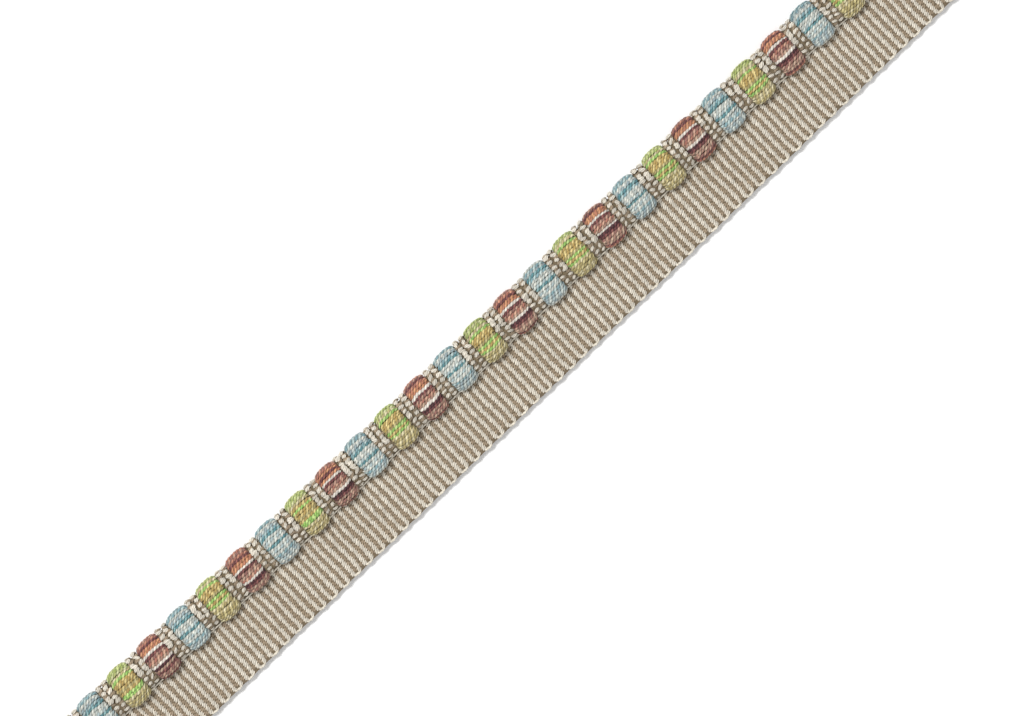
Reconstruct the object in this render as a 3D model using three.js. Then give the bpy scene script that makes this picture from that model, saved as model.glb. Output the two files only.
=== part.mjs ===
// A cut length of flanged lip trimming, the kind that is sewn into the seams of cushions and curtains.
// It lies flat on a surface, in millimetres. X runs along it, Y points from the flange to the lip, Z is up.
//
// The flange is a ribbed tape. The lip beside it is the ground cloth, folded round its filling and pinched
// in at every waist, with a bundle of coloured floats lying over it between one waist and the next.
import * as THREE from "three";

// The length and the repeats along it
const COLOURS = ["brown", "blue", "green"];
const COLOUR_REPEAT = 25.4;
const REPEATS = 10;
const BUNDLES = COLOURS.length * REPEATS;
const BUNDLE_PITCH = COLOUR_REPEAT / COLOURS.length;
const RIBS_PER_BUNDLE = 5;
const RIBS = BUNDLES * RIBS_PER_BUNDLE;
const RIB_PITCH = BUNDLE_PITCH / RIBS_PER_BUNDLE;
const LENGTH = BUNDLES * BUNDLE_PITCH;

// Across it
const WIDTH = 21.3;
const LIP_WIDTH = 9.5;
const LIP_HEIGHT = 4.6;
const FLANGE_THICKNESS = 1.25;
const GAP = 0.3; // between one piece and the next

// The lip: a low dome of an oval, half as high as it is wide, that the surface flattens underneath. A radius
// is counted across the oval, and the same depth is taken off its height.
const LIP_RADIUS = LIP_WIDTH / 2;
const LIP_Y = WIDTH / 2 - LIP_RADIUS;
const LIP_Z = 2.15;
const OVAL_DROP = LIP_RADIUS - (LIP_HEIGHT - LIP_Z);

// The flange's ribs and the loops of its selvedge, two ribs to a loop
const SELVEDGE_Y = -WIDTH / 2;
const SEAM_Y = LIP_Y - 4.15;
const GROOVE_DEPTH = 0.35;
const RIB_SHOULDERS = [0, 0.28, 0.72]; // groove, then both edges of the rib's flat top, in rib pitches
const RIBS_PER_LOOP = 2;
const LOOP_DEPTH = 0.4;
const SELVEDGE_ROUNDING = 0.45;

// The ground cloth of the lip, and its fold that meets the flange at the seam
const WAIST_RADIUS = 4.25;
const WAIST_DIP = 0.16; // between the two rows of knots that bind a waist
const UNDER_FLOATS_RADIUS = 3.1;
const SHOULDER_SLOPE = 0.15;
const FOLD = { y: SEAM_Y + GAP, top: 1.1, bottom: 0.2, topAngle: 212, bottomAngle: 236 };

// A bundle of floats wraps the lip from just over the flange round to the underside
const WRAP_START = -110;
const WRAP_END = 192.5;
const OUTER_SIDES = 11;
const INNER_SIDES = 8;
const INNER_RADIUS = 3.65;
const BUNDLE_PROFILE = [
  { x: -2.8, radius: 4.1 },
  { x: -2.05, radius: 4.58 },
  { x: 0, radius: LIP_RADIUS },
  { x: 2.05, radius: 4.58 },
  { x: 2.8, radius: 4.1 },
];

const BEIGE = { color: 0xb9ab97, roughness: 0.92 };
const YARNS = {
  brown: { color: 0x8a5145, roughness: 0.7 },
  blue: { color: 0x9dbfca, roughness: 0.7 },
  green: { color: 0xa8b65f, roughness: 0.7 },
};

// Carries a section, drawn in Y and Z, along X through the given stations. place() then says where the
// cloth has each point of the section at each station.
function carry(section, stations, place) {
  const steps = stations.length - 1;
  const outline = new THREE.Shape(section.map((p) => new THREE.Vector2(p.y, p.z)));
  const geometry = new THREE.ExtrudeGeometry(outline, { depth: steps, steps, bevelEnabled: false });
  const points = geometry.getAttribute("position");
  for (let i = 0; i < points.count; i += 1) {
    const station = stations[Math.round(points.getZ(i))];
    const drawn = section.find((p) => Math.hypot(p.y - points.getX(i), p.z - points.getY(i)) < 1e-4);
    const placed = place(drawn, station);
    points.setXYZ(i, station.x, placed.y, placed.z);
  }
  geometry.computeVertexNormals();
  return geometry;
}

// The point of the lip at an angle, counted from +Y through the top, and never under the surface.
function onLip(degrees, radius) {
  const angle = THREE.MathUtils.degToRad(degrees);
  return {
    y: LIP_Y + radius * Math.cos(angle),
    z: Math.max(0, LIP_Z + (radius - OVAL_DROP) * Math.sin(angle)),
  };
}

function anglesOf(sides) {
  const step = (WRAP_END - WRAP_START) / sides;
  return Array.from({ length: sides + 1 }, (_, i) => WRAP_START + step * i);
}

function flangeStations() {
  const stations = [];
  for (let rib = 0; rib < RIBS; rib += 1)
    for (const share of RIB_SHOULDERS)
      stations.push({ x: (rib + share) * RIB_PITCH - LENGTH / 2, along: rib + share, groove: share === 0 });
  stations.push({ x: LENGTH / 2, along: RIBS, groove: true });
  return stations;
}

function flangeGeometry() {
  const foot = SELVEDGE_Y + SELVEDGE_ROUNDING;
  const section = [
    { y: SELVEDGE_Y, z: FLANGE_THICKNESS / 2, looped: true, ribbed: false },
    { y: foot, z: 0, looped: true, ribbed: false },
    { y: SEAM_Y, z: 0, looped: false, ribbed: false },
    { y: SEAM_Y, z: FLANGE_THICKNESS, looped: false, ribbed: true },
    { y: foot, z: FLANGE_THICKNESS, looped: true, ribbed: true },
  ];
  return carry(section, flangeStations(), (point, station) => {
    const loop = 0.5 + 0.5 * Math.cos((2 * Math.PI * station.along) / RIBS_PER_LOOP);
    const inset = point.looped ? LOOP_DEPTH * (1 - loop) : 0;
    const sunk = point.ribbed && station.groove ? GROOVE_DEPTH : 0;
    return { y: point.y + inset, z: point.z - sunk };
  });
}

// One waist: up the shoulder, over two rows of knots with a dip between them, and down again.
function waistStations(centre) {
  const half = BUNDLE_PITCH / 2 - BUNDLE_PROFILE.at(-1).x - GAP;
  return [
    { x: centre - half, radius: UNDER_FLOATS_RADIUS },
    { x: centre - half + SHOULDER_SLOPE, radius: WAIST_RADIUS },
    { x: centre, radius: WAIST_RADIUS - WAIST_DIP },
    { x: centre + half - SHOULDER_SLOPE, radius: WAIST_RADIUS },
    { x: centre + half, radius: UNDER_FLOATS_RADIUS },
  ];
}

// The ends are cut through the middle of a waist.
function groundStations() {
  const all = Array.from({ length: BUNDLES + 1 }, (_, i) => waistStations(i * BUNDLE_PITCH - LENGTH / 2));
  return all.flat().filter((s) => Math.abs(s.x) < LENGTH / 2 + 1e-6);
}

function groundGeometry() {
  const onGround = (angle) => ({ angle, ...onLip(angle, UNDER_FLOATS_RADIUS) });
  const section = [
    ...anglesOf(OUTER_SIDES).map(onGround),
    onGround(FOLD.topAngle),
    { y: FOLD.y, z: FOLD.top },
    { y: FOLD.y, z: FOLD.bottom },
    onGround(FOLD.bottomAngle),
  ];
  return carry(section, groundStations(), (point, station) =>
    "angle" in point ? onLip(point.angle, station.radius) : point,
  );
}

function bundleGeometry() {
  const outer = anglesOf(OUTER_SIDES).map((angle) => ({ angle, ...onLip(angle, LIP_RADIUS) }));
  const inner = anglesOf(INNER_SIDES).map((angle) => onLip(angle, INNER_RADIUS));
  return carry([...outer, ...inner.reverse()], BUNDLE_PROFILE, (point, station) =>
    "angle" in point ? onLip(point.angle, station.radius) : point,
  );
}

// The sections are drawn in Y and Z and carried along X.
function piece(name, geometry, material) {
  const mesh = new THREE.Mesh(geometry, new THREE.MeshStandardMaterial({ ...material, metalness: 0 }));
  mesh.name = name;
  return mesh;
}

const trimming = new THREE.Group();
trimming.add(piece("flange", flangeGeometry(), BEIGE));
trimming.add(piece("lip_ground", groundGeometry(), BEIGE));

const bundle = bundleGeometry();
for (let i = 0; i < BUNDLES; i += 1) {
  const colour = COLOURS[i % COLOURS.length];
  const number = String(i + 1).padStart(2, "0");
  const floats = piece(`floats_${number}_${colour}`, bundle, YARNS[colour]);
  floats.position.x = (i + 0.5) * BUNDLE_PITCH - LENGTH / 2;
  trimming.add(floats);
}

export default trimming;
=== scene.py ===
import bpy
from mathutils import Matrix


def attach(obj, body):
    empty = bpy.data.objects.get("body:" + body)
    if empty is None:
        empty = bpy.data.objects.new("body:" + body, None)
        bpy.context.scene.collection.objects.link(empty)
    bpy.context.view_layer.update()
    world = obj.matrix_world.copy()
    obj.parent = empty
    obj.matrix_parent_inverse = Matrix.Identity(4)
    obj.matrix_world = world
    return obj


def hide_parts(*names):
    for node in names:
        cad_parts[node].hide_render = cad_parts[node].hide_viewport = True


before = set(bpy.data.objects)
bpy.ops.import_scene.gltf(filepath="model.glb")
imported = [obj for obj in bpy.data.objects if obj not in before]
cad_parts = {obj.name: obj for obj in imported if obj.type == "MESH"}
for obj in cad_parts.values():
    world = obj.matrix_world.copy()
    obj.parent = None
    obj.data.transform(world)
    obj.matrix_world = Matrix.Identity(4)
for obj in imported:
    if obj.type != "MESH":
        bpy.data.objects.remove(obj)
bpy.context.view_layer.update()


# %% [markdown]
# ## Sizes
# A weaver counts in repeats, so the sizes are repeats too. Three bundles, one of each colour, take one
# inch, and five ribs of the tape go to a bundle. Numbers are in millimetres, and MM turns them into
# Blender's metres. X runs along the trimming, Y from the looped edge of the tape to the lip, and Z is up.
# %% Sizes that all pieces share
import math

import bpy
import numpy as np
from mathutils import Vector

MM = 0.001
COLOURS = ["brown", "blue", "green"]
BUNDLES = 30
BUNDLE_PITCH = 25.4 / 3
RIBS_PER_BUNDLE = 5
RIBS = BUNDLES * RIBS_PER_BUNDLE
RIB_PITCH = BUNDLE_PITCH / RIBS_PER_BUNDLE
LENGTH = BUNDLES * BUNDLE_PITCH
LIP_Y = 5.9
LIP_Z = 2.15
EDGE_Y = -10.62
LOWEST = 0.01

# %% [markdown]
# ## A few helpers
# Operators act on whatever is selected, so each step clears the selection first and then picks what it
# needs: a whole piece, or the edges or faces that pass a test of their place or direction. The points of
# a mesh can be read and written all at once as an array, which is quick even for a long piece.
# %% Helpers for picking, naming and moving points
def pick(piece):
    bpy.ops.object.select_all(action="DESELECT")
    piece.select_set(True)
    bpy.context.view_layer.objects.active = piece


def pick_nothing_in(piece):
    for part in (*piece.data.polygons, *piece.data.edges, *piece.data.vertices):
        part.select = False


def pick_faces(piece, test):
    pick(piece)
    pick_nothing_in(piece)
    bpy.context.tool_settings.mesh_select_mode = (False, False, True)
    for face in piece.data.polygons:
        face.select = test(face)


def name_new(name):
    piece = bpy.context.object
    piece.name = name
    piece.data.name = name
    bpy.ops.object.transform_apply(location=True, rotation=True, scale=True)
    return piece


def points_of(piece):
    points = np.empty(len(piece.data.vertices) * 3)
    piece.data.vertices.foreach_get("co", points)
    return points.reshape(-1, 3) / MM


def set_points(piece, points):
    piece.data.vertices.foreach_set("co", (points * MM).astype(np.float32).ravel())
    piece.data.update()


def triangles_in(piece):
    piece.data.calc_loop_triangles()
    return len(piece.data.loop_triangles)


# %% [markdown]
# A yarn is easiest to make as a straight cylinder that is cut into short steps, so that it can be bent
# later. Where a yarn repeats along the whole trimming, one repeat of it is modelled with open ends, the
# Array modifier joins many of them into one, and then the two ends that are left are closed.
# %% Helpers for cutting, repeating and closing
SAME_PLACE = 0.0001


def cut_across(piece, steps, axis=0):
    """Cuts every edge that runs along the axis into so many steps."""
    pick(piece)
    pick_nothing_in(piece)
    bpy.context.tool_settings.mesh_select_mode = (False, True, False)
    points = points_of(piece)
    for edge in piece.data.edges:
        start, end = (points[i] for i in edge.vertices)
        edge.select = bool(abs(start[axis] - end[axis]) > SAME_PLACE)
    bpy.ops.object.mode_set(mode="EDIT")
    bpy.ops.mesh.subdivide(number_cuts=steps - 1)
    bpy.ops.object.mode_set(mode="OBJECT")


def repeat(piece, count, step=(0, 0, 0), merge=False):
    pick(piece)
    rows = piece.modifiers.new("rows", "ARRAY")
    rows.count = count
    rows.use_relative_offset = False
    rows.use_constant_offset = True
    rows.constant_offset_displace = [s * MM for s in step]
    rows.use_merge_vertices = merge
    rows.merge_threshold = SAME_PLACE * MM
    bpy.ops.object.modifier_apply(modifier="rows")


def open_ends(piece):
    pick_faces(piece, lambda face: abs(face.normal.x) > 0.99)
    bpy.ops.object.mode_set(mode="EDIT")
    bpy.ops.mesh.delete(type="ONLY_FACE")
    bpy.ops.object.mode_set(mode="OBJECT")


def close_ends(piece):
    pick(piece)
    bpy.context.tool_settings.mesh_select_mode = (True, False, False)
    bpy.ops.object.mode_set(mode="EDIT")
    bpy.ops.mesh.select_all(action="SELECT")
    bpy.ops.mesh.fill_holes(sides=0)
    bpy.ops.mesh.normals_make_consistent(inside=False)
    bpy.ops.object.mode_set(mode="OBJECT")


# %% [markdown]
# ## The shape of the lip
# Across, the lip is an oval about half as high as it is wide. A point on it is found from an angle,
# counted from the outer edge over the crown, and a radius. Half the width is the radius, and half the
# height is that less a fixed drop, so an oval inside another keeps the same distance from it at the sides
# and at the crown. Yarns lie side by side, so they are spaced by the length of the oval's arc and not by
# the angle.
# %% Points on the oval
OVAL_DROP = 2.3
WRAP_FROM = -112
WRAP_TO = 196
ARC_SAMPLES = 3000


def on_oval(angle, radius):
    """Where a point of the oval is, and which way the oval faces there."""
    height = radius - OVAL_DROP
    y = LIP_Y + radius * np.cos(angle)
    z = LIP_Z + height * np.sin(angle)
    out_y = height * np.cos(angle)
    out_z = radius * np.sin(angle)
    size = np.hypot(out_y, out_z)
    return y, z, out_y / size, out_z / size


def arc_per_radian(angle, radius):
    return np.hypot(radius * np.sin(angle), (radius - OVAL_DROP) * np.cos(angle))


def share_oval(radius, count):
    """The angles of so many yarns side by side round the lip, and the distance from one to the next."""
    fine = np.radians(np.linspace(WRAP_FROM, WRAP_TO, ARC_SAMPLES))
    speed = arc_per_radian(fine, radius)
    arc = np.concatenate([[0], np.cumsum((speed[1:] + speed[:-1]) / 2 * np.diff(fine))])
    middles = (np.arange(count) + 0.5) / count * arc[-1]
    return np.interp(middles, arc, fine), arc[-1] / count


print("yarns wrap", WRAP_TO - WRAP_FROM, "degrees of the lip")

# %% [markdown]
# ## One strand of two plies
# Each coloured yarn is two plies twisted together, and that twist gives the slanting marks that show all
# over a bundle. A bump texture could draw the marks, but then a strand seen from the side would be a
# plain tube. So the eight-sided section of a cylinder is pinched until it has two lobes, one for each
# ply, and the Simple Deform modifier twists it along its length. It is made one millimetre thick, so that
# later a strand's width only has to multiply it.
# %% Model the strand
STRAND_LENGTH = 5.5
STRAND_STEPS = 23
STRAND_SIDES = 8
UNIT_RADIUS = 0.5
PLIES = 2
PINCH = 0.72
MARK_PERIOD = 0.8
TWIST = -2 * math.pi / PLIES / MARK_PERIOD


def new_strand(name, length, radius, steps, sides=STRAND_SIDES, pinch=PINCH, plies=PLIES):
    bpy.ops.object.select_all(action="DESELECT")
    bpy.ops.mesh.primitive_cylinder_add(
        vertices=sides, radius=radius * MM, depth=length * MM, rotation=(0, math.pi / 2, 0)
    )
    strand = name_new(name)
    points = points_of(strand)
    around = np.arctan2(points[:, 2], points[:, 1])
    valley = 0.5 - 0.5 * np.cos(plies * around)
    points[:, 1:] *= (1 - (1 - pinch) * valley)[:, None]
    set_points(strand, points)
    cut_across(strand, steps)
    return strand


def twist_along(strand, per_mm):
    """Twists a strand, and gives the angle that each of its points had before."""
    points = points_of(strand)
    around = np.arctan2(points[:, 2], points[:, 1])
    length = np.ptp(points[:, 0])
    pick(strand)
    twist = strand.modifiers.new("twist", "SIMPLE_DEFORM")
    twist.deform_method = "TWIST"
    twist.deform_axis = "X"
    twist.angle = per_mm * length
    bpy.ops.object.modifier_apply(modifier="twist")
    return around


row = new_strand("strand", STRAND_LENGTH, UNIT_RADIUS, STRAND_STEPS)
around_strand = twist_along(row, TWIST)
print("strand:", triangles_in(row), "triangles,", round(STRAND_LENGTH / MARK_PERIOD, 1), "marks along it")

# %% [markdown]
# ## Dyed yarns
# Looked at closely, no bundle is one colour. Each is warped from five to eight yarns in a set order, and
# the two plies of a yarn differ a little as well. Colours are easiest to judge as they look on a screen,
# so they are written that way here, and turned into the linear values that Blender's shaders work with.
# %% The colours of the yarns, one for each ply
def linear(colour):
    c = np.array(colour)
    return np.where(c <= 0.04045, c / 12.92, ((c + 0.055) / 1.055) ** 2.4)


YARNS = {
    "rust": [(0.82, 0.58, 0.48), (0.66, 0.43, 0.37)],
    "orange rust": [(0.84, 0.61, 0.45), (0.71, 0.47, 0.37)],
    "salmon": [(0.83, 0.66, 0.56), (0.67, 0.43, 0.37)],
    "pink brown": [(0.76, 0.61, 0.53), (0.57, 0.39, 0.36)],
    "maroon": [(0.56, 0.35, 0.33), (0.42, 0.24, 0.24)],
    "dark maroon": [(0.40, 0.23, 0.24), (0.30, 0.16, 0.18)],
    "chalk": [(0.93, 0.90, 0.85), (0.83, 0.79, 0.75)],
    "tan": [(0.78, 0.67, 0.58), (0.63, 0.48, 0.42)],
    "pale blue": [(0.82, 0.85, 0.82), (0.64, 0.71, 0.72)],
    "white grey": [(0.86, 0.86, 0.82), (0.71, 0.74, 0.72)],
    "teal": [(0.56, 0.70, 0.70), (0.33, 0.53, 0.56)],
    "sky": [(0.73, 0.80, 0.79), (0.49, 0.63, 0.66)],
    "grey blue": [(0.77, 0.80, 0.78), (0.57, 0.64, 0.66)],
    "pale lime": [(0.83, 0.83, 0.64), (0.70, 0.72, 0.45)],
    "lime": [(0.79, 0.83, 0.56), (0.64, 0.70, 0.39)],
    "bright lime": [(0.76, 0.86, 0.54), (0.55, 0.73, 0.36)],
    "gold": [(0.87, 0.79, 0.54), (0.70, 0.59, 0.34)],
    "straw": [(0.87, 0.83, 0.68), (0.72, 0.66, 0.47)],
    "olive": [(0.81, 0.76, 0.55), (0.65, 0.59, 0.39)],
}
print(len(YARNS), "yarns")

# %% [markdown]
# ## The order of the yarns in a bundle
# A weaver writes down how many strands of each yarn follow one another, and that list is used here as it
# is. It starts under the lip, goes up round the outer edge, over the crown and down to the tape, thirty
# strands in all. On the real trimming the strands slip past each other a little, so no two bundles show
# quite the same stripes. Here the whole order may slip by one strand, and two strands change places with
# the next.
# %% How many strands of each yarn
STRANDS = 30
ORDER = {
    "brown": [
        (3, "rust"), (2, "maroon"), (2, "pink brown"), (5, "rust"), (1, "pink brown"), (1, "rust"),
        (1, "maroon"), (2, "orange rust"), (1, "chalk"), (1, "maroon"), (1, "pink brown"), (1, "salmon"),
        (1, "tan"), (1, "chalk"), (1, "dark maroon"), (1, "maroon"), (1, "tan"), (1, "pink brown"),
        (1, "tan"), (1, "maroon"), (1, "rust"),
    ],
    "blue": [
        (3, "grey blue"), (2, "teal"), (4, "pale blue"), (2, "grey blue"), (2, "sky"), (1, "white grey"),
        (1, "grey blue"), (1, "sky"), (1, "teal"), (2, "white grey"), (1, "pale blue"), (1, "teal"),
        (1, "white grey"), (1, "pale blue"), (1, "white grey"), (1, "sky"), (1, "grey blue"),
        (1, "pale blue"), (1, "grey blue"), (2, "white grey"),
    ],
    "green": [
        (3, "olive"), (2, "lime"), (3, "gold"), (3, "pale lime"), (2, "lime"), (1, "pale lime"),
        (1, "straw"), (1, "bright lime"), (3, "gold"), (1, "olive"), (1, "bright lime"), (1, "gold"),
        (1, "bright lime"), (1, "straw"), (1, "olive"), (1, "straw"), (1, "olive"), (1, "straw"),
        (1, "olive"), (1, "straw"),
    ],
}
CHANGED_PLACES = 2


def yarns_in_order(rng, colour):
    yarns = [yarn for count, yarn in ORDER[colour] for _ in range(count)]
    slipped = rng.integers(-1, 2)
    yarns = yarns[-slipped:] + yarns[:-slipped]
    for i in rng.choice(STRANDS - 1, CHANGED_PLACES, replace=False):
        yarns[i], yarns[i + 1] = yarns[i + 1], yarns[i]
    return yarns


print({colour: sum(count for count, _ in order) for colour, order in ORDER.items()}, "strands")

# %% [markdown]
# ## The bundles
# A bundle is thirty strands side by side round the lip. They rise out of the waist, run over the padding
# and drop into the next waist, so each follows one profile: steep at its ends and nearly flat between. A
# curve with a round bevel could follow it too, but it has no plies. So the twisted strand is repeated by
# an Array modifier, and then each copy is bent along the profile by moving its points.
# %% The profile of a bundle, and where its strands lie
CROWN_RADIUS = 4.72
MIDDLE_RADIUS = CROWN_RADIUS - 0.3
END_RADIUS = 3.75
HALF_SPAN = 2.84
SHOULDER = 2.4

strand_angles, strand_pitch = share_oval(MIDDLE_RADIUS, STRANDS)
print("strands lie", round(strand_pitch, 3), "mm apart")


def bundle_radius(x):
    rise = np.sqrt(np.clip(1 - np.abs(x / HALF_SPAN) ** SHOULDER, 0, 1))
    return END_RADIUS + (CROWN_RADIUS - END_RADIUS) * rise


repeat(row, STRANDS)
row_points = points_of(row).reshape(STRANDS, -1, 3)
print("row of strands:", triangles_in(row), "triangles")

# %% [markdown]
# No two strands come out alike, because each is turned, stretched, shifted and made to waver by chance.
# Soft yarns press against their neighbours, so each is a little wider than it is high, and hardly a hole
# is left between them. The side of a strand that faces the lip gets little light, so a shade for it is
# worked out too.
# %% Lay one strand round the lip
SQUASH = 1.14
END_THINNING = 0.35
LENGTH_SPREAD = 0.025
PLACE_SPREAD = 0.06
HEIGHT_SPREAD = 0.05
WAVER_SIZES = (0.03, 0.14)
WAVER_LENGTHS = (2.5, 7)
TABLE_GAP = 0.02
DARKEST_SIDE = 0.58
PALEST_SIDE = 1.03


def turned(across, up, angle):
    cos, sin = math.cos(angle), math.sin(angle)
    return across * cos - up * sin, across * sin + up * cos


def lay_strand(points, rng, angle, width, lean):
    """Takes one straight strand to its place round the lip, and gives the shade of its sides."""
    x, across, up = points.T
    across, up = turned(across, up, rng.uniform(0, 2 * math.pi))
    side_shade = np.clip(0.8 + 0.65 * up, DARKEST_SIDE, PALEST_SIDE)
    thick = width * (1 - END_THINNING * (np.abs(x) / (STRAND_LENGTH / 2)) ** 6)
    x = x * (1 + rng.normal(0, LENGTH_SPREAD)) + rng.normal(0, PLACE_SPREAD)
    size = rng.uniform(*WAVER_SIZES)
    wavelength = rng.uniform(*WAVER_LENGTHS)
    waver = size * np.sin(2 * math.pi * (x / wavelength + rng.random()))
    centre = bundle_radius(x) - width / 2 + rng.normal(0, HEIGHT_SPREAD)
    around = angle + (waver + lean * x) / arc_per_radian(angle, MIDDLE_RADIUS)
    y, z, out_y, out_z = on_oval(around, centre)
    z = np.maximum(z, width / 2 + TABLE_GAP)
    across = across * thick * SQUASH
    up = up * thick
    y = y + across * out_z + up * out_y
    z = z - across * out_y + up * out_z
    return np.stack([x, y, np.maximum(z, LOWEST)], axis=1), side_shade


# %% [markdown]
# The colour of each strand is stored on its points, since one mesh holds many yarns. A material for every
# yarn would do as well, but it couldn't blend one ply into the other. The valleys between two plies and
# between two strands never catch much light, so they are stored darker. A pale yarn throws more light
# into its own valleys, so there the difference is smaller.
# %% Colour one strand
# Painted shade: how strongly the valleys between plies are darkened, less so for pale yarns.
VALLEY_SHADE_POWER = 1.45
PALE_YARN_EASING = 0.95
DYE_STRENGTHS = (0.85, 1.01)


def colour_points(piece, colours):
    layer = piece.data.color_attributes.new(name="yarn", type="FLOAT_COLOR", domain="POINT")
    flat = np.concatenate([colours, np.ones((len(colours), 1))], axis=1)
    layer.data.foreach_set("color", flat.astype(np.float32).ravel())


def valley_shade(around, plies, middle, swing):
    """Painted shade: light on the plies, and dark in the valleys between them, where little light gets
    in.
    """
    return (middle + swing * np.cos(plies * around))[:, None]


strand_shade = valley_shade(around_strand, PLIES, 0.72, 0.32)
first_ply_share = (0.5 + 0.5 * np.cos(around_strand))[:, None]


def strand_colours(rng, yarn, side_shade):
    first, second = (linear(ply) for ply in YARNS[yarn])
    dyed = first * first_ply_share + second * (1 - first_ply_share)
    shade = strand_shade * side_shade[:, None]
    depth = VALLEY_SHADE_POWER - PALE_YARN_EASING * first.mean()
    return dyed * shade**depth * rng.uniform(*DYE_STRENGTHS)


print("shade of a strand:", round(strand_shade.min(), 2), "to", round(strand_shade.max(), 2))

# %% [markdown]
# Each bundle is a copy of the row with its own mesh. It draws its chances from its own seed, so the
# trimming comes out the same each time, and a change to one bundle leaves the others as they are. Widths
# are counted in the distance from one strand to the next, and are more than one because neighbours press
# together.
# %% Make the thirty bundles
FIRST_SEED = 700
STRAND_WIDTHS = (1.1, 1.46)
SIDE_SPREAD = 0.03
LEAN = 0.02
LEAN_SPREAD = 0.02


def make_bundle(number, colour):
    rng = np.random.default_rng(FIRST_SEED + number)
    bundle = row.copy()
    bundle.data = row.data.copy()
    bundle.name = bundle.data.name = f"yarns_{number:02d}_{colour}"
    bpy.context.scene.collection.objects.link(bundle)
    lean = rng.normal(LEAN, LEAN_SPREAD)
    yarns = yarns_in_order(rng, colour)
    widths = rng.uniform(*STRAND_WIDTHS, STRANDS) * strand_pitch
    shifts = rng.normal(0, SIDE_SPREAD, STRANDS)
    angles = strand_angles + shifts / arc_per_radian(strand_angles, MIDDLE_RADIUS)
    laid, colours = [], []
    for strand_points, angle, width, yarn in zip(row_points, angles, widths, yarns):
        points, side_shade = lay_strand(strand_points, rng, angle, width, lean)
        laid.append(points)
        colours.append(strand_colours(rng, yarn, side_shade))
    middle = (number - 0.5) * BUNDLE_PITCH - LENGTH / 2
    set_points(bundle, np.concatenate(laid) + [middle, 0, 0])
    colour_points(bundle, np.concatenate(colours))
    return bundle


bundles = {}
for number in range(1, BUNDLES + 1):
    colour = COLOURS[(number - 1) % len(COLOURS)]
    bundles[f"floats_{number:02d}_{colour}"] = make_bundle(number, colour)
bpy.data.objects.remove(row)
print(len(bundles), "bundles,", sum(triangles_in(b) for b in bundles.values()), "triangles")

# %% [markdown]
# ## The waists
# Between two bundles the ground yarns show. Two thick wefts pass round the lip there, and each cream yarn
# goes over one of them and under the other, so a waist is two columns of short fat knots, cream beside
# the taupe yarns that lie deeper. A plain sphere would be quick, but a knot is spun yarn like all the
# rest. So it is a short strand of four plies, twisted like the long ones and drawn in at its ends.
# %% Model one knot
KNOTS = 23
KNOT_RADIUS = 3.82
KNOT_PLIES = 4
KNOT_STEPS = 5
KNOT_PINCH = 0.74
KNOT_TWIST = 0.6 * TWIST
KNOT_ROUNDING = 2.5
KNOT_END = 0.12

knot_angles, knot_pitch = share_oval(KNOT_RADIUS, KNOTS)
print("knots lie", round(knot_pitch, 3), "mm apart")
knots = new_strand("knots", 1, UNIT_RADIUS, KNOT_STEPS, pinch=KNOT_PINCH, plies=KNOT_PLIES)
around_knot = twist_along(knots, KNOT_TWIST)
points = points_of(knots)
points[:, 1:] *= np.sqrt(np.clip(1 - np.abs(2 * points[:, :1]) ** KNOT_ROUNDING, KNOT_END, 1))
set_points(knots, points)
print("knot:", triangles_in(knots), "triangles")

# %% [markdown]
# Every waist has a column of knots on either side of its middle. The trimming is cut through the middle
# of a waist at both ends, so the outer columns there are left out. One mesh is enough for all the knots,
# because they share one finish, and the Array modifier makes it.
# %% Repeat the knot for every column
COLUMN_SHIFT = 0.76
columns = [(waist, side) for waist in range(BUNDLES + 1) for side in (-1, 1)]
columns = columns[1:-1]
repeat(knots, len(columns) * KNOTS)
knot_points = points_of(knots).reshape(len(columns), KNOTS, -1, 3)
print("knots:", len(columns) * KNOTS, "in", triangles_in(knots), "triangles")

# %% [markdown]
# Knots of one size in even rows would look like brickwork. On the real waist they lean, and some are
# pulled tighter than others, so each one here is made longer or shorter, wider or narrower and turned by
# chance. Cream and taupe take turns round the lip, but on the crown a cream yarn often stands where a
# taupe one should. Sizes are length, width and height.
# %% Lay one knot round the lip
CREAM_KNOT = (1.45, 0.92, 0.7)
CREAM_KNOT_NEAR_TAPE = (1.35, 0.72, 0.66)
TAUPE_KNOT = (1.55, 0.84, 0.62)
NEAR_TAPE = math.radians(115)
LENGTH_SHARES = (0.72, 1.1)
WIDTH_SHARES = (0.8, 1.18)
TILT = 8
TILT_SPREAD = 20
SHIFT_SPREAD = 0.1
DEPTH_SPREAD = 0.05
TAUPE_DEPTH = 0.18
SAG = 0.2
WAIST_SHIFT = 0.32


def knot_size(cream, angle):
    if not cream:
        return TAUPE_KNOT
    return CREAM_KNOT_NEAR_TAPE if angle > NEAR_TAPE else CREAM_KNOT


def lay_knot(points, rng, middle, angle, cream):
    x, across, up = points.T
    length, width, height = knot_size(cream, angle)
    length *= rng.uniform(*LENGTH_SHARES)
    width *= rng.uniform(*WIDTH_SHARES)
    tilt = math.radians(rng.normal(TILT, TILT_SPREAD))
    along, across = turned(x * length, across * width, tilt)
    depth = 0 if cream else TAUPE_DEPTH
    radius = KNOT_RADIUS + rng.normal(0, DEPTH_SPREAD) - depth - SAG * along**2
    around = angle - across / arc_per_radian(angle, KNOT_RADIUS)
    y, z, out_y, out_z = on_oval(around, radius)
    y = y + up * height * out_y + WAIST_SHIFT
    z = np.maximum(z + up * height * out_z, LOWEST)
    return np.stack([middle + along + rng.normal(0, SHIFT_SPREAD), y, z], axis=1)


# %% [markdown]
# The knots take their colour from their points as the strands do, a little darker on the side of the
# tape, where the bundles stand in their light.
# %% Lay and colour all the knots
CREAM = (0.91, 0.88, 0.82)
TAUPE = (0.655, 0.585, 0.495)
CROWN_ROWS = range(13, 17)
EXTRA_CREAM_CHANCE = 0.55
CROWN = math.radians(80)
SHADE_PAST_CROWN = 0.88
SHADE_BEFORE_CROWN = 1.02
KNOT_STRENGTHS = (0.8, 1.1)
TURN_SPREAD = 0.03

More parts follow.
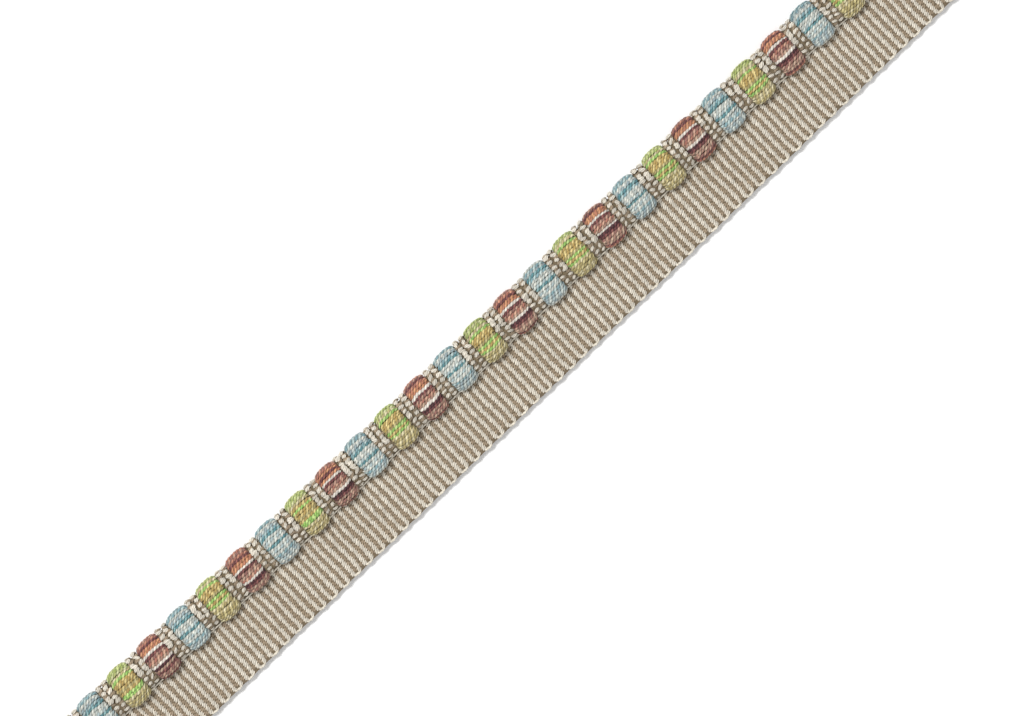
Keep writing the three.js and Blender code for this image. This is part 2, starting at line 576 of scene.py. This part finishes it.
knot_shade = valley_shade(around_knot, KNOT_PLIES, 0.76, 0.26)
rng = np.random.default_rng(41)
laid, colours = [], []
for (waist, side), column in zip(columns, knot_points):
    middle = waist * BUNDLE_PITCH - LENGTH / 2 + side * COLUMN_SHIFT
    for i, points in enumerate(column):
        angle = knot_angles[i] + rng.normal(0, TURN_SPREAD)
        creams_turn = (i + (side > 0)) % 2 == 0
        cream = creams_turn or (i in CROWN_ROWS and rng.random() < EXTRA_CREAM_CHANCE)
        laid.append(lay_knot(points, rng, middle, angle, cream))
        side_shade = SHADE_PAST_CROWN if angle > CROWN else SHADE_BEFORE_CROWN
        dye = linear(CREAM if cream else TAUPE)
        colours.append(dye * knot_shade * side_shade * rng.uniform(*KNOT_STRENGTHS))
set_points(knots, np.concatenate(laid))
colour_points(knots, np.concatenate(colours))
print(len(laid), "knots laid")

# %% [markdown]
# ## The lip cloth
# Under the bundles and the knots the ground cloth is folded round a soft filling. It is a tube of one
# section, so a long cylinder along X will do. Both cut ends are inset three times and pushed in a little,
# because the filling shrinks back from a cut: the first ring is the cloth's edge, the second is the step
# inwards, and the third is the filling, which swells again.
# %% Model the tube of the lip cloth
CLOTH_RADIUS = 3.45
CLOTH_SIDES = 48
CLOTH_STEPS = 100
CUT_EDGE = 0.6
STEP_WIDTH = 0.25
STEP_DEPTH = 0.3
FILLING_RING = 1.2
FILLING_SWELL = 0.12

bpy.ops.object.select_all(action="DESELECT")
bpy.ops.mesh.primitive_cylinder_add(
    vertices=CLOTH_SIDES, radius=CLOTH_RADIUS * MM, depth=LENGTH * MM, rotation=(0, math.pi / 2, 0)
)
cloth = name_new("lip_cloth")
cut_across(cloth, CLOTH_STEPS)
pick_faces(cloth, lambda face: abs(face.normal.x) > 0.9)
bpy.ops.object.mode_set(mode="EDIT")
bpy.ops.mesh.inset(thickness=CUT_EDGE * MM, depth=0)
bpy.ops.mesh.inset(thickness=STEP_WIDTH * MM, depth=-STEP_DEPTH * MM)
bpy.ops.mesh.inset(thickness=FILLING_RING * MM, depth=FILLING_SWELL * MM)
bpy.ops.object.mode_set(mode="OBJECT")
print("lip cloth:", triangles_in(cloth), "triangles")

# %% [markdown]
# The cloth's two edges meet the tape at the seam. So once the tube is flattened to the lip's oval, the
# points that face the seam are pulled out towards the tape, into a flat fold.
# %% Flatten the tube and pull out the fold
FOLD_FROM = 205
FOLD_TO = 232
FOLD_Y = 2.2
FOLD_TOP = 1.5
FOLD_BOTTOM = 0.3
SKIN = 0.05

points = points_of(cloth)
angle = np.degrees(np.arctan2(points[:, 2], points[:, 1])) % 360
outside = np.hypot(points[:, 1], points[:, 2]) > CLOTH_RADIUS - SKIN
fold = outside & (angle > FOLD_FROM) & (angle < FOLD_TO)
points[:, 1] += LIP_Y
points[:, 2] = points[:, 2] * (CLOTH_RADIUS - OVAL_DROP) / CLOTH_RADIUS + LIP_Z
points[fold, 1] = FOLD_Y
points[fold, 2] = np.interp(angle[fold], [FOLD_FROM, FOLD_TO], [FOLD_TOP, FOLD_BOTTOM])
set_points(cloth, points)
print("points in the fold:", int(fold.sum()))

# %% [markdown]
# ## The tape
# The tape is a warp rib: stout wefts lie across it, and thinner warps run along it, over one weft and
# under the next. All cream warps go over the same wefts and all taupe warps over the wefts between, which
# is why the tape looks striped. A flat sheet with a striped material would lose the ribs from any low
# angle, so each warp is a real yarn here, wider where it goes over a weft than where it goes under one,
# and a little aslant between.
#
# One wave of a warp is a cylinder, shaped and twisted like the strands of the lip, and two Array
# modifiers make a yarn of it and then all the yarns. The twist takes two marks to a wave, so that each
# wave ends as the next one starts and their points can be merged. These yarns have four plies, which
# gives them finer marks than the strands of the bundles have.
# %% Model the warps
WARPS = 13
WARP_PITCH = 0.955
FIRST_WARP = -9.7
WARP_STEPS = 6
WARP_PLIES = 4
WARP_PINCH = 0.6
MARKS_IN_A_WAVE = 2
WARP_TWIST = -2 * math.pi / WARP_PLIES * MARKS_IN_A_WAVE / RIB_PITCH
SLANT = 0.07


def make_warps(name, colour, profile, first, slant):
    warps = new_strand(name, RIB_PITCH, 1, WARP_STEPS, pinch=WARP_PINCH, plies=WARP_PLIES)
    around = twist_along(warps, WARP_TWIST)
    points = points_of(warps)
    turn = 2 * math.pi * points[:, 0] / RIB_PITCH
    half_width, half_height, rise = (middle + swing * np.cos(turn) for middle, swing in profile)
    points[:, 0] += (RIB_PITCH - LENGTH) / 2
    points[:, 1] = points[:, 1] * half_width + first + slant * np.sin(turn)
    points[:, 2] = points[:, 2] * half_height + rise
    set_points(warps, points)
    # Painted shade: the warps' points hold their dye, darkened in the valleys between the plies.
    colour_points(warps, linear(colour) * valley_shade(around, WARP_PLIES, 0.76, 0.32))
    open_ends(warps)
    repeat(warps, RIBS, (RIB_PITCH, 0, 0), merge=True)
    close_ends(warps)
    repeat(warps, WARPS, (0, WARP_PITCH, 0))
    print(name, triangles_in(warps), "triangles")
    return warps


# %% [markdown]
# A warp's profile gives half its width, half its height and the height of its middle. Each is a mean and
# the swing that a cosine adds to it, which is at its most in the middle of a wave. The cream warps swell
# there and rise over the weft, and the taupe warps narrow there and dive under it.
# %% Weave the cream and the taupe warps
CREAM_PROFILE = [(0.46, 0.15), (0.28, 0.04), (0.62, 0.31)]
TAUPE_PROFILE = [(0.42, -0.11), (0.27, -0.03), (0.56, -0.26)]

cream_warps = make_warps("cream_warps", CREAM, CREAM_PROFILE, FIRST_WARP, SLANT)
taupe_warps = make_warps("taupe_warps", TAUPE, TAUPE_PROFILE, FIRST_WARP + WARP_PITCH / 2, -SLANT)

# %% [markdown]
# ## The wefts inside the tape
# The wefts hardly show, but without them one could look right through the tape. They are packed so close
# that one ribbed sheet stands for them all, and three hundred yarns would add nothing. A flat box, open
# at its ends, is cut into steps both ways, its faces are raised and lowered by one ridge for each weft,
# and it is repeated for each rib. Each repeat has two wefts: one that the cream warps go over, and one
# that the taupe warps go over.
# %% Model the ribbed ground
GROUND_WIDTH = 12.4
GROUND_THICKNESS = 0.4
GROUND_Z = 0.58
INNER_EDGE_Y = 2.0
STEPS_ALONG = 8
STEPS_ACROSS = 10
WEFTS_PER_RIB = 2
WEFT_RIDGE = 0.07

bpy.ops.object.select_all(action="DESELECT")
bpy.ops.mesh.primitive_cube_add(
    size=1,
    scale=(RIB_PITCH * MM, GROUND_WIDTH * MM, GROUND_THICKNESS * MM),
    location=(0, (INNER_EDGE_Y - GROUND_WIDTH / 2) * MM, GROUND_Z * MM),
)
ground = name_new("tape_ground")
open_ends(ground)
cut_across(ground, STEPS_ALONG)
cut_across(ground, STEPS_ACROSS, axis=1)
points = points_of(ground)
ridge = np.cos(2 * WEFTS_PER_RIB * math.pi * points[:, 0] / RIB_PITCH)
points[:, 2] += np.sign(points[:, 2] - GROUND_Z) * WEFT_RIDGE * ridge
points[:, 0] += (RIB_PITCH - LENGTH) / 2
set_points(ground, points)
repeat(ground, RIBS, (RIB_PITCH, 0, 0), merge=True)
close_ends(ground)
print("ground:", triangles_in(ground), "triangles")

# %% [markdown]
# ## The looped edge
# At the free edge of the tape a cream weft comes out of one rib, turns, and goes back in at the next, and
# that row of small loops is the selvedge. A bevelled curve would give the U but not the twist, so each
# loop is a twisted strand like the ones above, laid along a U. The same U serves for all of them, so it
# is shaped once and repeated, two ribs apart. RIB_SHIFT moves the loops, and later the ribs, to where the
# photo has them beside the bundles.
# %% Model the loops
LOOPS = 74
LOOP_STEPS = 26
LOOP_RADIUS = 0.3
LOOP_Z = 0.62
LOOP_BOTTOM = EDGE_Y + LOOP_RADIUS
LOOP_HALF = RIB_PITCH / 2 - 0.02
LEG = 1.0
CORNER = 0.42
LOOP_HEIGHT_SHARE = 0.95
LOOP_ARCH = 0.1
ARCH_REACH = 1.2
RIB_SHIFT = -0.3


def u_path(s):
    """Where a loop is, s mm from its middle, and which way it runs."""
    flat = LOOP_HALF - CORNER
    bend = CORNER * math.pi / 2
    side = np.sign(s)
    s = np.abs(s)
    turn = np.clip((s - flat) / CORNER, 0, math.pi / 2)
    past = np.maximum(s - flat - bend, 0)
    x = side * (np.minimum(s, flat) + CORNER * np.sin(turn))
    y = LOOP_BOTTOM + CORNER * (1 - np.cos(turn)) + past
    return x, y, turn * side


LOOP_LENGTH = 2 * (LOOP_HALF - CORNER + CORNER * math.pi / 2 + LEG)
loops = new_strand("edge_loops", LOOP_LENGTH, LOOP_RADIUS, LOOP_STEPS)
twist_along(loops, TWIST)
s, across, up = points_of(loops).T
x, y, turn = u_path(s)
rise = LOOP_Z + LOOP_ARCH * np.cos(np.clip(s / ARCH_REACH, -math.pi, math.pi))
z = up * LOOP_HEIGHT_SHARE + rise
laid = np.stack([x - across * np.sin(turn), y + across * np.cos(turn), z], axis=1)
set_points(loops, laid + [2 * RIB_PITCH - LENGTH / 2 + RIB_SHIFT, 0, 0])
repeat(loops, LOOPS, (2 * RIB_PITCH, 0, 0))
print("loops:", triangles_in(loops), "triangles")

# %% [markdown]
# ## The seam thread
# A thin pale thread runs along the foot of the lip, where the fold is sewn to the tape. Every stitch
# could be a piece of its own, but the thread is only just seen between the bundles. So it is one long
# strand of six sides, left without a twist, that rises and sinks a little on its way.
# %% Model the seam thread
THREAD_RADIUS = 0.19
THREAD_STEPS = 100
THREAD_SIDES = 6
THREAD_Y = 2.02
THREAD_Z = 1.32
THREAD_SINK = 0.08

thread = new_strand("seam_thread", LENGTH, THREAD_RADIUS, THREAD_STEPS, sides=THREAD_SIDES)
x, across, up = points_of(thread).T
sink = THREAD_SINK * np.cos(2 * math.pi * (x - RIB_SHIFT) / RIB_PITCH)
set_points(thread, np.stack([x, across + THREAD_Y, up + THREAD_Z + sink], axis=1))
print("thread:", triangles_in(thread), "triangles")

# %% [markdown]
# ## Weaving is never quite even
# All pieces of the tape are pushed about by the same smooth waves, so that they stay together while the
# ribs waver a little. Sums of a few sines with odd wavelengths do this without any texture. The looped
# edge also lifts off the table by less than a millimetre, as the edge of a narrow fabric does, and throws
# the thin grey shadow seen there.
# %% Let the tape waver
ALONG = 0.07
ACROSS = 0.08
UP = 0.04
LAST_PHASE = 6.28
END_FADE = 2
EDGE_LIFT = 0.7
LIFT_FROM_Y = -5


def waver(x, y, rng, count, shortest, longest):
    total = np.zeros_like(x)
    for _ in range(count):
        length = rng.uniform(shortest, longest)
        way = rng.uniform(0, 2 * math.pi)
        run = x * math.cos(way) + y * math.sin(way)
        total += np.sin(2 * math.pi * run / length + rng.uniform(0, LAST_PHASE))
    return total / math.sqrt(count)


for piece in [ground, cream_warps, taupe_warps, loops, thread]:
    rng = np.random.default_rng(9)
    points = points_of(piece)
    x, y, z = points.T.copy()
    along = ALONG * waver(x, y, rng, 5, 2.5, 9) + ALONG * waver(x, y, rng, 5, 1.1, 2)
    across = ACROSS * waver(x, y, rng, 6, 1.1, 9)
    up = UP * waver(x, y, rng, 5, 3, 9) + UP * waver(x, y, rng, 5, 1.2, 2.2)
    fade = np.clip((LENGTH / 2 - np.abs(x)) / END_FADE, 0, 1)
    if piece in (ground, cream_warps, taupe_warps):
        points[:, 0] += RIB_SHIFT * fade
    points[:, 0] += along * fade
    points[:, 1] += across * np.clip((y - EDGE_Y) / 2, 0.5, 1)
    points[:, 2] += up * np.clip(z, 0, 1)
    lift = np.clip((LIFT_FROM_Y - y) / (LIFT_FROM_Y - EDGE_Y), 0, 1)
    points[:, 2] += EDGE_LIFT * lift**2
    points[:, 2] = np.maximum(points[:, 2], LOWEST)
    set_points(piece, points)
    print(piece.name, "moved sideways by up to", round(float(np.abs(points[:, 1] - y).max()), 2), "mm")

# %% [markdown]
# ## Finishes
# All the yarn is matt and slightly hairy. A material for it needs three things: the dyed colour, which
# varies a little from place to place, a fine grain along the yarn, and a trace of sheen from the fibres.
# Noise in Object coordinates gives the first two, stretched along X because most of the yarns run that
# way. An image of cloth would be quicker, but it would have to be laid out on every strand.
# %% A helper for nodes, and a new finish
SPECULAR = 0.25
SHEEN_ROUGHNESS = 0.5


def node(tree, kind, inputs=None, **settings):
    made = tree.nodes.new(kind)
    for name, value in settings.items():
        setattr(made, name, value)
    for name, value in (inputs or {}).items():
        if isinstance(value, bpy.types.NodeSocket):
            tree.links.new(value, made.inputs[name])
        else:
            made.inputs[name].default_value = value
    return made


def new_finish(name, roughness, sheen):
    finish = bpy.data.materials.new(name)
    finish.use_nodes = True
    shader = finish.node_tree.nodes["Principled BSDF"]
    shader.inputs["Roughness"].default_value = roughness
    shader.inputs["Specular IOR Level"].default_value = SPECULAR
    shader.inputs["Sheen Weight"].default_value = sheen
    shader.inputs["Sheen Roughness"].default_value = SHEEN_ROUGHNESS
    return finish, finish.node_tree, shader


# %% [markdown]
# The grain is two noises that both scale the dye: soft patches of about half a millimetre, and finer
# fibres drawn out along X. The fibres also raise the surface, by less than a hundredth of a millimetre.
# Noise hardly leaves the range from 0.3 to 0.7, so that range is spread over the shades that are wanted.
# %% The grain of spun yarn
PATCHES_PER_METRE = 1500
FIBRES_PER_METRE = 6000
FIBRE_STRETCH = (0.3, 1, 1)
FIBRE_HEIGHT = 0.03
NOISE_LOW = 0.3
NOISE_HIGH = 0.7


def noise(tree, scale, stretch, low, high):
    place = node(tree, "ShaderNodeTexCoord").outputs["Object"]
    mapped = node(tree, "ShaderNodeMapping", {"Vector": place, "Scale": stretch}).outputs["Vector"]
    settings = {"Vector": mapped, "Scale": scale, "Detail": 2.0}
    cloud = node(tree, "ShaderNodeTexNoise", settings).outputs["Fac"]
    known = {"Value": cloud, "From Min": NOISE_LOW, "From Max": NOISE_HIGH}
    wanted = {"To Min": low, "To Max": high}
    return node(tree, "ShaderNodeMapRange", known | wanted).outputs["Result"]


def times(tree, colour, amount):
    scaled = node(tree, "ShaderNodeVectorMath", {0: colour, "Scale": amount}, operation="SCALE")
    return scaled.outputs["Vector"]


def spun_grain(tree, shader, colour):
    patches = noise(tree, PATCHES_PER_METRE, (1, 1, 1), 0.84, 1.12)
    fibres = noise(tree, FIBRES_PER_METRE, FIBRE_STRETCH, 0.86, 1.12)
    colour = times(tree, times(tree, colour, patches), fibres)
    tree.links.new(colour, shader.inputs["Base Color"])
    raised = {"Height": fibres, "Strength": 0.5, "Distance": FIBRE_HEIGHT * MM}
    tree.links.new(node(tree, "ShaderNodeBump", raised).outputs["Normal"], shader.inputs["Normal"])


# %% [markdown]
# The bundles, the knots and the warps take their colour from their points, which hold the dye together
# with its painted shade.
# The floats are a little glossier than the ground, because they are soft spun and lie straight.
# %% Finishes with colours from the points
def dye_and_shade_finish(name, roughness, sheen):
    finish, tree, shader = new_finish(name, roughness, sheen)
    spun_grain(tree, shader, node(tree, "ShaderNodeVertexColor", layer_name="yarn").outputs["Color"])
    return finish


float_finish = dye_and_shade_finish("soft_spun_floats", 0.55, 0.15)
ground_finish = dye_and_shade_finish("ground_yarns", 0.8, 0.1)
print("dyed finishes:", float_finish.name, ground_finish.name)

# %% [markdown]
# The loops, the seam thread, the wefts, the cloth and the filling are each of one colour, so they need no
# stored colours.
# %% Finishes of one colour
PLAIN_SHEEN = 0.1


def plain_finish(name, colour, roughness):
    finish, tree, shader = new_finish(name, roughness, PLAIN_SHEEN)
    dye = node(tree, "ShaderNodeRGB").outputs[0]
    dye.default_value = (*linear(colour), 1)
    spun_grain(tree, shader, dye)
    return finish


loop_finish = plain_finish("edge_loop_yarn", (0.82, 0.79, 0.73), 0.8)
# The wefts and the lip cloth are darker than the yarns over them: partly their own colour, and partly
# painted shade for the holes between those yarns.
weft_finish = plain_finish("tape_wefts", (0.40, 0.35, 0.28), 0.9)
cloth_finish = plain_finish("lip_cloth", (0.42, 0.37, 0.29), 0.9)
filling_finish = plain_finish("cotton_filling", (0.9, 0.88, 0.82), 0.95)
print("plain finishes:", loop_finish.name, weft_finish.name, cloth_finish.name, filling_finish.name)

# %% [markdown]
# ## Dress the pieces
# Every new piece gets its finish and smooth shading and rides on the trimming's one body, and the
# imported solid that a piece stands for is hidden. Smooth shading by angle keeps the corners at the cut
# ends sharp.
# %% Dress the bundles and the waists
SMOOTH_UNDER = math.radians(60)


def dress(piece, finish):
    piece.data.materials.clear()
    piece.data.materials.append(finish)
    pick(piece)
    bpy.ops.object.shade_smooth_by_angle(angle=SMOOTH_UNDER)
    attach(piece, "root")


for node_name, bundle in bundles.items():
    dress(bundle, float_finish)
    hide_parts(node_name)
dress(knots, ground_finish)
print(len(bundles) + 1, "pieces dressed")

# %% [markdown]
# The tape's pieces are dressed, the imported flange is hidden, and the tape's flat size is printed.
# %% Dress the tape
dress(cream_warps, ground_finish)
dress(taupe_warps, ground_finish)
dress(loops, loop_finish)
dress(thread, loop_finish)
dress(ground, weft_finish)
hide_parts("flange")
print("flat size of the tape:", GROUND_WIDTH, "by", round(LENGTH, 2), "mm")

# %% [markdown]
# The lip cloth is dressed, and the imported lip ground is hidden. Its cut ends get a second finish, for
# the filling: the faces that look along X and lie near the middle of the lip.
# %% Dress the lip cloth
FILLING_REACH = 2.6

dress(cloth, cloth_finish)
cloth.data.materials.append(filling_finish)
for face in cloth.data.polygons:
    across = Vector((0, face.center.y - LIP_Y * MM, face.center.z - LIP_Z * MM))
    if abs(face.normal.x) > 0.5 and across.length < FILLING_REACH * MM:
        face.material_index = 1
print("filling faces at the cut ends:", sum(face.material_index for face in cloth.data.polygons))
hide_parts("lip_ground")

# %% [markdown]
# ## The table
# The trimming lies on a white table. A plane three metres wide is large enough that its edge shows in no
# view.
# %% Lay the table
bpy.ops.object.select_all(action="DESELECT")
bpy.ops.mesh.primitive_plane_add(size=3)
table = name_new("table")
table_finish, _, shader = new_finish("white_table", 0.9, 0.0)
shader.inputs["Base Color"].default_value = (0.9, 0.9, 0.9, 1)
table.data.materials.append(table_finish)
print("table:", [round(side, 2) for side in table.dimensions], "m")

# %% [markdown]
# ## The light
# Trimmings are photographed in a light tent, where hardly a shadow is seen. A white sky gives that even
# light. A sky alone would leave the yarns flat, so one broad lamp stands high beyond the lip and draws
# the short shadows at the foot of the bundles and along the looped edge. A wider and weaker one, lower
# and on the side of the tape, keeps that side of the lip from going dark.
# %% A white sky and two lamps
LAMP_DISTANCE = 1.6

scene = bpy.context.scene
sky = bpy.data.worlds.new("light_tent")
sky.use_nodes = True
sky.node_tree.nodes["Background"].inputs["Color"].default_value = (1, 1, 1, 1)
sky.node_tree.nodes["Background"].inputs["Strength"].default_value = 0.45
scene.world = sky


def soft_box(name, towards, size, watts):
    lamp_data = bpy.data.lights.new(name, "AREA")
    lamp_data.shape = "DISK"
    lamp_data.size = size
    lamp_data.energy = watts
    lamp = bpy.data.objects.new(name, lamp_data)
    scene.collection.objects.link(lamp)
    towards = Vector(towards).normalized()
    lamp.location = towards * LAMP_DISTANCE
    lamp.rotation_euler = towards.to_track_quat("Z", "Y").to_euler()
    print(name, "lamp:", size, "m wide,", watts, "W")


soft_box("key", (-0.5, 1.0, 1.7), 0.5, 24)
soft_box("fill", (0.3, -1.0, 0.95), 0.9, 9)

# %% [markdown]
# ## The camera
# The photo looks straight down, and the strip climbs across it from the lower left to the upper right.
# Nearby and with a short lens, the near sides of the lip would show, and they don't in the photo, so a
# long lens is used from far away. Its distance follows from the size that a pixel has on the trimming.
# %% Set up the camera
PIXEL = 0.2048
PHOTO_WIDTH = 1036
SENSOR = 36
LENS = 200
VIEW_X = -1.995
VIEW_Y = -1.315
VIEW_Z = 2
VIEW_TURN = -44.02

camera_data = bpy.data.cameras.new("camera")
camera_data.lens = LENS
camera_data.sensor_width = SENSOR
camera_data.clip_end = 10
camera_data.dof.use_dof = False
camera = bpy.data.objects.new("camera", camera_data)
scene.collection.objects.link(camera)
distance = PIXEL * PHOTO_WIDTH / SENSOR * LENS
camera.location = (VIEW_X * MM, VIEW_Y * MM, (distance + VIEW_Z) * MM)
camera.rotation_euler = (0, 0, math.radians(VIEW_TURN))
scene.camera = camera
scene.view_settings.view_transform = "Standard"
print("camera", round(distance), "mm above the trimming")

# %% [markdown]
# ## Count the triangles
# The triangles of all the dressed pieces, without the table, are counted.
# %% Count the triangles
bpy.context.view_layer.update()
added = [o for o in scene.objects if o.type == "MESH" and o.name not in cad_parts]
meshes = [piece for piece in added if piece is not table]
print("yarn and cloth:", sum(triangles_in(piece) for piece in meshes), "triangles in all")
